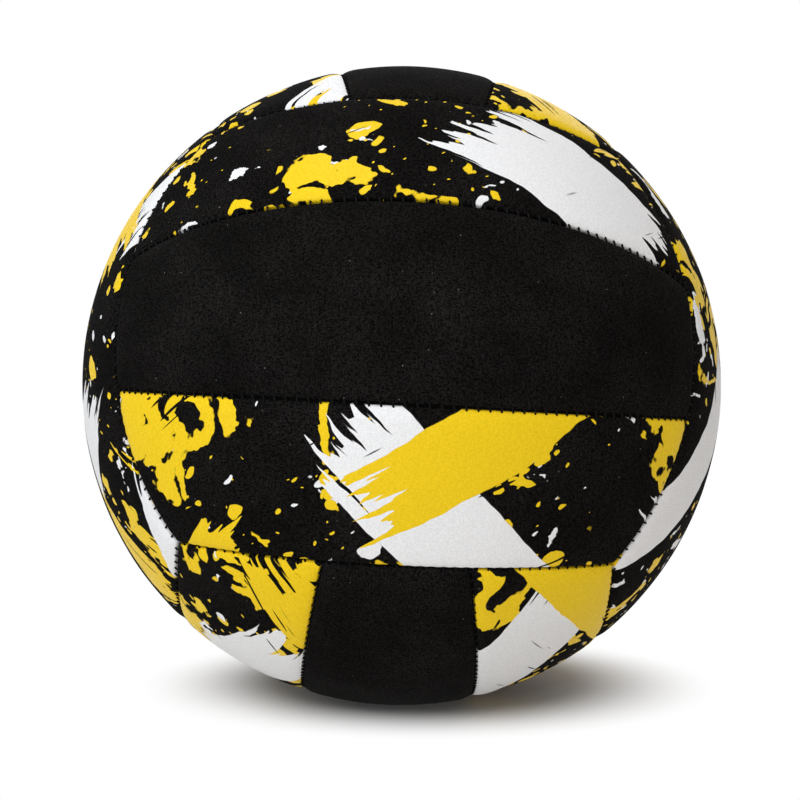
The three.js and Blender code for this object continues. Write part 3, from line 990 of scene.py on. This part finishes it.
def brush_strokes(name):
    """Broad strokes of a flat brush with torn, streaky ends, scattered in slanting rows."""
    sizes = {"Angle": 0.6, "Length": 0.115, "Width": 0.06}
    table, given, out = new_group(name, "Mask", Vector=ORIGIN, **sizes, Presence=0.6, Seed=0.0)
    length = given["Length"]
    width = given["Width"]
    seed = given["Seed"]
    x, y, _ = table.split(table.rotated(given["Vector"], given["Angle"]))
    rows = table.math("DIVIDE", y, width)
    row = table.math("FLOOR", rows)
    row_shift, _, _ = table.chance(row, seed, ROW_SALT)
    columns = table.plus(table.math("DIVIDE", x, length), row_shift)
    column = table.math("FLOOR", columns)
    shift, slide, tilt = table.chance(column, row, seed)
    bend, wide, long = table.chance(column, row, table.plus(seed, SHAPE_SALT))
    kept, _, _ = table.chance(column, row, table.plus(seed, KEPT_SALT))

    def in_cell(cells, size, draw, share):
        """Distance from the middle of a stroke, which a random draw moves by a share of its cell."""
        from_middle = table.minus(table.math("FRACT", cells), 0.5)
        return table.times(table.minus(from_middle, table.off_middle(draw, share)), size)

    def room(draw, shares, size, distance):
        """How far inside the stroke a distance from its middle is. A draw sets the stroke's size."""
        half = table.times(size, table.spread(draw, FULL_SPAN, shares, smooth=False))
        return table.minus(half, table.math("ABSOLUTE", distance))

    own = table.times(shift, GRAIN_SALT)
    along = in_cell(columns, length, slide, STROKE_SLIDE)
    across = in_cell(rows, width, shift, STROKE_SHIFT)
    tilted = table.times(along, table.off_middle(tilt, STROKE_TILT))
    curved = table.times(along, along, table.off_middle(bend, STROKE_BEND))
    wobble = table.noise(table.join(along, own, seed), STROKE_WAVES, detail=3, roughness=0.55)
    across = table.plus(across, tilted, curved, table.off_middle(wobble, STROKE_WOBBLE))
    side_room = room(wide, STROKE_WIDTHS, width, across)
    end_room = room(long, STROKE_LENGTHS, length, along)

    def streaky(stretch, detail, roughness):
        """Noise drawn out along the stroke, different on each one."""
        place = table.join(table.times(along, stretch[0]), table.times(across, stretch[1]), own)
        return table.noise(place, 1, detail, roughness)

    bristles = streaky(BRISTLES, detail=2, roughness=0.6)
    torn_end = table.plus(end_room, table.off_middle(bristles, BRISTLE_REACH))
    body = table.spread(table.math("MINIMUM", side_room, torn_end), (-INK_EDGE, INK_EDGE))
    dry = table.spread(end_room, (0.0, DRY_END), DRYNESS, smooth=False)
    streaks = table.plus(streaky(STREAKS, detail=1, roughness=0.5), dry)
    inked = table.minus(1.0, table.spread(streaks, STREAK_SPAN))
    present = table.math("LESS_THAN", kept, given["Presence"])
    table.feed(out["Mask"], table.times(body, inked, present))
    return table.tree


def torn_patches(name):
    """Blotches of ink with pointed lobes, gathered in clusters."""
    table, given, out = new_group(name, "Mask", Vector=ORIGIN, Size=0.024, Cover=0.3, Seed=0.0)
    unmoved = table.scaled(given["Vector"], table.math("DIVIDE", 1.0, given["Size"]))
    unbent = table.seeded(unmoved, given["Seed"], PATCH_SALT)
    place = unbent
    for push in PATCH_PUSHES:
        place = table.pushed(place, unbent, *push)
    broad = table.noise(place, scale=1, detail=1, roughness=0.4)
    narrow = table.noise(place, scale=2.6, detail=1)
    gather = table.noise(unmoved, scale=0.28, detail=1)
    field = table.plus(
        table.times(broad, PATCH_BROAD),
        table.times(narrow, PATCH_NARROW),
        table.off_middle(gather, PATCH_GATHER),
    )
    limit = table.minus(PATCH_LIMIT, table.times(given["Cover"], PATCH_COVER))
    table.feed(out["Mask"], table.spread(table.minus(field, limit), (-PATCH_EDGE, PATCH_EDGE)))
    return table.tree


def splatter(name):
    """Drops of ink of many sizes, slightly drawn out, denser in some places."""
    table, given, out = new_group(name, "Mask", Vector=ORIGIN, Spacing=0.009, Seed=0.0, Density=0.5)
    place = table.seeded(given["Vector"], given["Seed"], DROP_SALT)
    turned_place = table.rotated(table.pushed(place, place, *DROP_PUSH), DROP_ANGLE)
    drawn_out = table.vector_math("MULTIPLY", turned_place, DROP_STRETCH)
    cells = table.cells(drawn_out, table.math("DIVIDE", 1.0, given["Spacing"]))
    size, kept, _ = table.split(cells["Color"])
    mostly_small = table.math("POWER", size, LARGE_DROP_RARITY)
    radius = table.spread(mostly_small, FULL_SPAN, DROP_RADII, smooth=False)
    drop = table.spread(table.minus(radius, cells["Distance"]), (-DROP_EDGE, DROP_EDGE))
    gather = table.spread(table.noise(place, DROP_CLUSTERS, detail=1), CLUSTER_SPAN)
    clustered = table.math("LESS_THAN", kept, gather)
    dense = table.math("LESS_THAN", kept, given["Density"])
    table.feed(out["Mask"], table.times(drop, clustered, dense))
    return table.tree


def scuff_lines(name):
    """Thin scratches where the ink is missing."""
    table, given, out = new_group(name, "Mask", Vector=ORIGIN, Angle=-0.5, Amount=0.3)
    turned_place = table.rotated(given["Vector"], given["Angle"])
    lines = table.noise(table.vector_math("MULTIPLY", turned_place, SCUFF_STRETCH), scale=1, detail=1)
    gather = table.noise(given["Vector"], SCUFF_CLUSTERS, detail=1)
    limit = table.minus(SCUFF_LIMIT, table.times(gather, given["Amount"]))
    table.feed(out["Mask"], table.spread(table.minus(lines, limit), (0.0, SCUFF_EDGE)))
    return table.tree


# Layers of the print from the lowest: pattern, ink, whether it covers the ink below, and its values
PRINT_LAYERS = (
    (torn_patches, "yellow", True, dict(Size=0.026, Cover=0.31, Seed=4.1)),
    (brush_strokes, "white", True, dict(Angle=0.62, Length=0.12, Width=0.064, Presence=0.65, Seed=2.0)),
    (brush_strokes, "yellow", True, dict(Angle=-0.5, Length=0.115, Width=0.06, Presence=0.45, Seed=8.0)),
    (torn_patches, "white", False, dict(Size=0.017, Cover=0.2, Seed=11.6)),
    (splatter, "yellow", False, dict(Spacing=0.009, Seed=1.3, Density=0.8)),
    (splatter, "white", False, dict(Spacing=0.006, Seed=5.2, Density=0.3)),
    (splatter, "yellow", False, dict(Spacing=0.0042, Seed=9.4, Density=0.7)),
)


# Materials
def new_material(name, gloss):
    """A material with a Principled shader: the material, its table and the shader's inputs."""
    material = bpy.data.materials.new(name)
    material.use_nodes = True
    material.node_tree.nodes.clear()
    table = NodeTable(material.node_tree)
    shader = table.add("ShaderNodeBsdfPrincipled", {"Specular IOR Level": gloss})
    table.add("ShaderNodeOutputMaterial", {"Surface": shader.outputs["BSDF"]})
    return material, table, shader.inputs


def solid_colour(colour, share=1.0):
    """A share of a colour property, as a colour socket's value."""
    return (*(min(1.0, share * channel) for channel in colour), 1.0)


def add_bump(table, shader, height, relief):
    """Raises a surface by a height from 0 to 1."""
    distance, strength = relief
    bump = table.add("ShaderNodeBump", {"Height": height, "Distance": distance, "Strength": strength})
    table.feed(shader["Normal"], bump.outputs["Normal"])


def cloth_vector(table):
    """Places on the flat cloth, in metres."""
    return table.add("ShaderNodeUVMap", uv_map=CLOTH_MAP).outputs["UV"]


def object_vector(table):
    """Places in the part's own frame, in metres."""
    return table.add("ShaderNodeTexCoord").outputs["Object"]


def weave_black(table, cloth, shader, colours, relief):
    """Sets the black fabric's dull finish and its relief on the shader, and gives its other outputs."""
    fabric = table.group(
        woven_fabric,
        Vector=cloth,
        Ground=solid_colour(colours.fabric),
        Crowns=solid_colour(colours.crowns),
        Lint=solid_colour(colours.lint),
    )
    table.feed(shader["Roughness"], fabric["Roughness"])
    add_bump(table, shader, fabric["Height"], relief)
    return fabric


def plain_fabric(colours):
    """Black woven fabric of the centre strips."""
    material, table, shader = new_material("plain fabric", FABRIC_GLOSS)
    fabric = weave_black(table, cloth_vector(table), shader, colours, PLAIN_RELIEF)
    table.feed(shader["Base Color"], fabric["Colour"])
    return material


def printed_fabric(colours):
    """The same fabric printed with brush strokes, torn patches and drops of ink."""
    material, table, shader = new_material("printed fabric", FABRIC_GLOSS)
    cloth = cloth_vector(table)
    fabric = weave_black(table, cloth, shader, colours, PRINTED_RELIEF)
    colour = fabric["Colour"]
    ink = 0.0
    for pattern, paint, covers, values in PRINT_LAYERS:
        mask = table.group(pattern, Vector=cloth, **values)["Mask"]
        if not covers:
            mask = table.times(mask, table.minus(1.0, ink))
        colour = table.blend(mask, colour, solid_colour(getattr(colours, paint)))
        ink = table.math("MAXIMUM", mask, ink)
    scuffs = table.group(scuff_lines, Vector=cloth)["Mask"]
    colour = table.blend(scuffs, colour, fabric["Colour"])
    ink = table.times(ink, table.minus(1.0, scuffs))
    shade = table.spread(fabric["Tops"], FULL_SPAN, INK_SHADE)
    gloss = table.spread(fabric["Tops"], INK_COAT_SPAN, INK_COAT)
    table.feed(shader["Base Color"], table.scaled(colour, shade))
    table.feed(shader["Coat Weight"], table.times(ink, gloss))
    table.feed(shader["Coat Roughness"], INK_COAT_ROUGHNESS)
    table.feed(shader["Coat IOR"], INK_COAT_IOR)
    return material


def sewing_thread(colours):
    """Black twisted sewing thread."""
    material, table, shader = new_material("sewing thread", THREAD_GLOSS)
    fibres = table.noise(object_vector(table), THREAD_FIBRES, detail=2, roughness=0.6)
    dark = solid_colour(colours.thread)
    light = solid_colour(colours.thread, THREAD_LIGHT)
    table.feed(shader["Base Color"], table.blend(fibres, dark, light))
    table.feed(shader["Roughness"], table.spread(fibres, FIBRE_SPAN, THREAD_ROUGHNESS))
    add_bump(table, shader, fibres, THREAD_RELIEF)
    return material


def cell_foam(colours):
    """Fine-celled foam."""
    material, table, shader = new_material("cell foam", FOAM_GLOSS)
    depth = table.cells(object_vector(table), FOAM_CELLS, "3D")["Distance"]
    light = solid_colour(colours.foam)
    dark = solid_colour(colours.foam, FOAM_DARK)
    table.feed(shader["Base Color"], table.blend(table.spread(depth, HOLLOW_SPAN), light, dark))
    table.feed(shader["Roughness"], table.spread(depth, CELL_SPAN, FOAM_ROUGHNESS))
    add_bump(table, shader, depth, FOAM_RELIEF)
    return material


def moulded_rubber(name, colour, grains):
    """Dull moulded rubber with a fine grain and a slight bloom."""
    material, table, shader = new_material(name, RUBBER_GLOSS)
    rubber = table.group(rubber_grain, Vector=object_vector(table), Grains=grains)
    bloomed = table.spread(rubber["Bloom"], BLOOM_SPAN)
    pale = solid_colour(colour, BLOOM_PALE)
    table.feed(shader["Base Color"], table.blend(bloomed, solid_colour(colour), pale))
    table.feed(shader["Roughness"], table.spread(rubber["Bloom"], RUBBER_SPAN, RUBBER_ROUGHNESS))
    add_bump(table, shader, rubber["Grain"], RUBBER_RELIEF)
    return material


# Operators
def for_strips(context):
    """Each panel's name, strip, frame, and number on the ball."""
    half_turn = Matrix.Rotation(math.pi, 4, "Z")
    number = 0
    for face, place, sides in face_frames(context.scene.ball_panels):
        for name, strip, frame_place in (
            (f"{face}_{sides[0]}", "outer", place),
            (f"{face}_centre", "centre", place),
            (f"{face}_{sides[1]}", "outer", place @ half_turn),
        ):
            yield name, strip, frame_place, number
            number += 1


def sew_covers(context, wanted, material):
    """All the covers of one kind of strip."""
    panels = context.scene.ball_panels
    grid = PanelGrid(SeamLayout(panels), wanted, cover_insets(panels), COVER_STEP)
    for name, strip, place, number in for_strips(context):
        if strip == wanted:
            add_cover(context, grid, name, place, material, number)


class BALL_OT_plain_panels(bpy.types.Operator):
    """Sew the six plain centre strips"""

    bl_idname = "ball.plain_panels"
    bl_label = "Plain panels"

    def execute(self, context):
        sew_covers(context, "centre", plain_fabric(context.scene.ball_colours))
        return {"FINISHED"}


class BALL_OT_printed_panels(bpy.types.Operator):
    """Sew the twelve printed outer strips"""

    bl_idname = "ball.printed_panels"
    bl_label = "Printed panels"

    def execute(self, context):
        sew_covers(context, "outer", printed_fabric(context.scene.ball_colours))
        return {"FINISHED"}


class BALL_OT_stitching(bpy.types.Operator):
    """Sew the seams of all six faces"""

    bl_idname = "ball.stitching"
    bl_label = "Stitching"

    def execute(self, context):
        panels = context.scene.ball_panels
        stitches = context.scene.ball_stitches
        layout = SeamLayout(panels)
        draws = np.random.default_rng(STITCH_SEED)
        material = sewing_thread(context.scene.ball_colours)
        for face, place, _ in face_frames(panels):
            reach = stitches.reach * TIGHT_FACES.get(face, 1)
            tubes = []
            for run in seam_runs(layout):
                tubes += sew_seam(run, panels, stitches, reach, draws)
            shape = joined_tubes(tubes)
            add_piece(f"{face}_stitching", shape, place, material, f"{face}_seam_thread")
        return {"FINISHED"}


class BALL_OT_padding(bpy.types.Operator):
    """Lay the foam behind the eighteen covers"""

    bl_idname = "ball.padding"
    bl_label = "Foam padding"

    def execute(self, context):
        panels = context.scene.ball_panels
        layout = SeamLayout(panels)
        first = panels.seam_gap / 2 + panels.roll_width + panels.cover_thickness + LAYER_GAP
        insets = [first, first + FOAM_STEP / 2, first + FOAM_STEP]
        grids = {strip: PanelGrid(layout, strip, insets, FOAM_STEP) for strip in ("centre", "outer")}
        material = cell_foam(context.scene.ball_colours)
        for name, strip, place, _ in for_strips(context):
            add_foam(context, grids[strip], name, place, material)
        return {"FINISHED"}


def valve_place(context):
    """The frame of the face that holds the valve."""
    places = {face: place for face, place, _ in face_frames(context.scene.ball_panels)}
    return places[VALVE_FACE]


class BALL_OT_bladder(bpy.types.Operator):
    """Blow up the rubber bladder inside the panels"""

    bl_idname = "ball.bladder"
    bl_label = "Bladder"

    def execute(self, context):
        valve = context.scene.ball_valve
        hole = valve.neck / 2 + LAYER_GAP
        inside = BLADDER_RADIUS - valve.bladder_wall
        first = math.asin(hole / BLADDER_RADIUS)
        last = math.pi - math.asin(AXIS_GAP / BLADDER_RADIUS)
        turns = np.linspace(first, last, BLADDER_STEPS)
        arc = np.stack([np.sin(turns), np.cos(turns)], -1)
        shape = turned(np.concatenate([BLADDER_RADIUS * arc, inside * arc[::-1]]))
        material = moulded_rubber("bladder rubber", context.scene.ball_colours.bladder, BLADDER_GRAINS)
        add_piece("air_bladder", shape, valve_place(context), material, "bladder")
        return {"FINISHED"}


class BALL_OT_valve(bpy.types.Operator):
    """Set the valve's seat and plug in the back face"""

    bl_idname = "ball.valve"
    bl_label = "Valve"

    def execute(self, context):
        valve = context.scene.ball_valve
        place = valve_place(context)
        material = moulded_rubber("valve rubber", context.scene.ball_colours.valve, VALVE_GRAINS)
        seat = turned(rounded(self.seat_corners(valve), valve.seat_round))
        plug = turned(rounded(self.plug_corners(valve), valve.plug_round))
        add_piece("valve_seat", seat, place, material, "valve_body")
        add_piece("valve_plug", plug, place, material, "valve_core")
        return {"FINISHED"}

    def seat_corners(self, valve):
        """Outline of the seat: its bore, the top, the flange on the bladder, and the barrel."""
        top = BALL_RADIUS - valve.recess
        neck = valve.neck / 2
        bore = valve.stem / 2 + LAYER_GAP
        head_bore = valve.plug / 2 + LAYER_GAP
        head_seat = top - valve.plug_head - LAYER_GAP
        flange_base = BLADDER_RADIUS + LAYER_GAP
        barrel_end = flange_base - valve.barrel
        return [
            (bore, barrel_end),
            (bore, head_seat),
            (head_bore, head_seat),
            (head_bore, top),
            (neck, top),
            *arc_line(flange_base + valve.flange_thickness, neck, valve.flange / 2),
            *arc_line(flange_base, valve.flange / 2, neck),
            (neck, barrel_end),
        ]

    def plug_corners(self, valve):
        """Outline of the plug: its needle hole with a funnel, the head and the stem."""
        top = BALL_RADIUS - valve.recess
        needle = valve.needle / 2
        plug_end = top - valve.stem_length
        return [
            (AXIS_GAP, plug_end),
            (AXIS_GAP, top - valve.needle_depth),
            (needle, top - valve.needle_depth),
            (needle, top - needle),
            (NEEDLE_FUNNEL * needle, top),
            (valve.plug / 2, top),
            (valve.plug / 2, top - valve.plug_head),
            (valve.stem / 2, top - valve.plug_head),
            (valve.stem / 2, plug_end),
        ]


# Stage
def seen_directly(table):
    """One for rays from the camera and for mirrored or transmitted ones."""
    path = table.add("ShaderNodeLightPath").outputs
    either = table.math("MAXIMUM", path["Is Camera Ray"], path["Is Glossy Ray"])
    return table.math("MAXIMUM", either, path["Is Transmission Ray"])


def pale_floor(colours):
    """Matt floor whose far parts are seen as the white of the background."""
    material, table, shader = new_material("studio floor", gloss=0.0)
    place = object_vector(table)
    dim = solid_colour(colours.floor, FLOOR_DIM)
    mottle = table.noise(place, FLOOR_MOTTLE)
    table.feed(shader["Base Color"], table.blend(mottle, dim, solid_colour(colours.floor)))
    table.feed(shader["Roughness"], FLOOR_ROUGHNESS)
    stretched = table.vector_math("MULTIPLY", place, FADE_STRETCH)
    ends = {0: stretched, 1: FADE_CENTRE}
    apart = table.add("ShaderNodeVectorMath", ends, operation="DISTANCE").outputs["Value"]
    shown = table.times(table.spread(apart, FADE_SPAN), seen_directly(table))
    white = table.add("ShaderNodeEmission", {"Color": WHITE, "Strength": 1.0})
    surface = table.tree.get_output_node("ALL").inputs["Surface"]
    base = surface.links[0].from_socket
    blend = table.add("ShaderNodeMixShader", {0: shown, 1: base, 2: white.outputs["Emission"]})
    table.feed(surface, blend.outputs["Shader"])
    return material


def white_world(ambient, tint):
    """A background that is seen as white, and lights the ball only softly in a tint."""
    world = bpy.data.worlds.new("studio")
    world.use_nodes = True
    world.node_tree.nodes.clear()
    table = NodeTable(world.node_tree)
    direct = seen_directly(table)
    colour = table.blend(direct, solid_colour(tint), WHITE)
    strength = table.spread(direct, FULL_SPAN, (ambient, 1.0), smooth=False)
    background = table.add("ShaderNodeBackground", {"Color": colour, "Strength": strength})
    table.add("ShaderNodeOutputWorld", {"Surface": background.outputs["Background"]})
    return world


def soft_box(name, power, tint, size, azimuth, elevation, distance):
    """A rectangular lamp that faces the ball. Azimuth 0 is the camera's side, and 90 the right."""
    lamp = bpy.data.lights.new(name, "AREA")
    lamp.shape = "RECTANGLE"
    lamp.size, lamp.size_y = size
    lamp.energy = power
    lamp.color = tint
    turn = math.radians(azimuth)
    rise = math.radians(elevation)
    flat = math.cos(rise)
    place = Vector((math.sin(turn) * flat, -math.cos(turn) * flat, math.sin(rise)))
    holder = bpy.data.objects.new(name, lamp)
    holder.location = place * distance
    holder.rotation_euler = place.to_track_quat("Z", "Y").to_euler()
    bpy.context.scene.collection.objects.link(holder)


class BALL_OT_stage(bpy.types.Operator):
    """Set up the floor, the lamps and the camera"""

    bl_idname = "ball.stage"
    bl_label = "Stage"

    def execute(self, context):
        scene = context.scene
        stage = scene.ball_stage
        mesh = bpy.data.meshes.new("floor")
        shape = bmesh.new()
        bmesh.ops.create_circle(shape, cap_ends=True, segments=FLOOR_SIDES, radius=FLOOR_RADIUS)
        shape.to_mesh(mesh)
        shape.free()
        mesh.materials.append(pale_floor(scene.ball_colours))
        floor = bpy.data.objects.new("floor", mesh)
        floor.location.z = -BALL_RADIUS
        scene.collection.objects.link(floor)
        scene.world = white_world(stage.ambient, stage.warm_tint)
        scene.view_settings.view_transform = "Standard"
        for name, power, tint, *placing in LAMPS:
            soft_box(name, getattr(stage, power), getattr(stage, tint), *placing)
        self.add_camera(scene, stage)
        return {"FINISHED"}

    def add_camera(self, scene, stage):
        """The camera stands in front, a little above the ball's middle."""
        lens = bpy.data.cameras.new("camera")
        lens.lens = stage.lens
        lens.clip_start = NEAREST_VIEW
        camera = bpy.data.objects.new("camera", lens)
        back = Vector((0, -math.cos(stage.elevation), math.sin(stage.elevation)))
        camera.location = back * stage.distance
        aim = Vector((-stage.aim_left, 0, -stage.aim_drop))
        camera.rotation_euler = (camera.location - aim).to_track_quat("Z", "Y").to_euler()
        scene.collection.objects.link(camera)
        scene.camera = camera


OPERATORS = (
    BALL_OT_plain_panels,
    BALL_OT_printed_panels,
    BALL_OT_stitching,
    BALL_OT_padding,
    BALL_OT_bladder,
    BALL_OT_valve,
    BALL_OT_stage,
)
SETTINGS = {
    "ball_panels": PanelSizes,
    "ball_stitches": StitchSizes,
    "ball_valve": ValveSizes,
    "ball_colours": BallColours,
    "ball_stage": StageSettings,
}


class BALL_PT_pieces(bpy.types.Panel):
    """Sizes, colours and pieces of the volleyball"""

    bl_idname = "BALL_PT_pieces"
    bl_label = "Volleyball"
    bl_space_type = "VIEW_3D"
    bl_region_type = "UI"
    bl_category = "Volleyball"

    def draw(self, context):
        for name, group in SETTINGS.items():
            box = self.layout.box()
            box.label(text=group.__doc__)
            for value in group.__annotations__:
                box.prop(getattr(context.scene, name), value)
        for operator in OPERATORS:
            self.layout.operator(operator.bl_idname)


def register():
    """Registers the classes and hangs the settings on the scene."""
    for group in (*SETTINGS.values(), *OPERATORS, BALL_PT_pieces):
        bpy.utils.register_class(group)
    for name, group in SETTINGS.items():
        setattr(bpy.types.Scene, name, PointerProperty(type=group))


def unregister():
    """Takes off what register added."""
    for name in SETTINGS:
        delattr(bpy.types.Scene, name)
    for group in (BALL_PT_pieces, *reversed(OPERATORS), *reversed(SETTINGS.values())):
        bpy.utils.unregister_class(group)


def main():
    """Builds every piece and the stage."""
    register()
    bpy.ops.ball.plain_panels()
    bpy.ops.ball.printed_panels()
    bpy.ops.ball.stitching()
    bpy.ops.ball.padding()
    bpy.ops.ball.bladder()
    bpy.ops.ball.valve()
    bpy.ops.ball.stage()


if __name__ == "__main__":
    main()
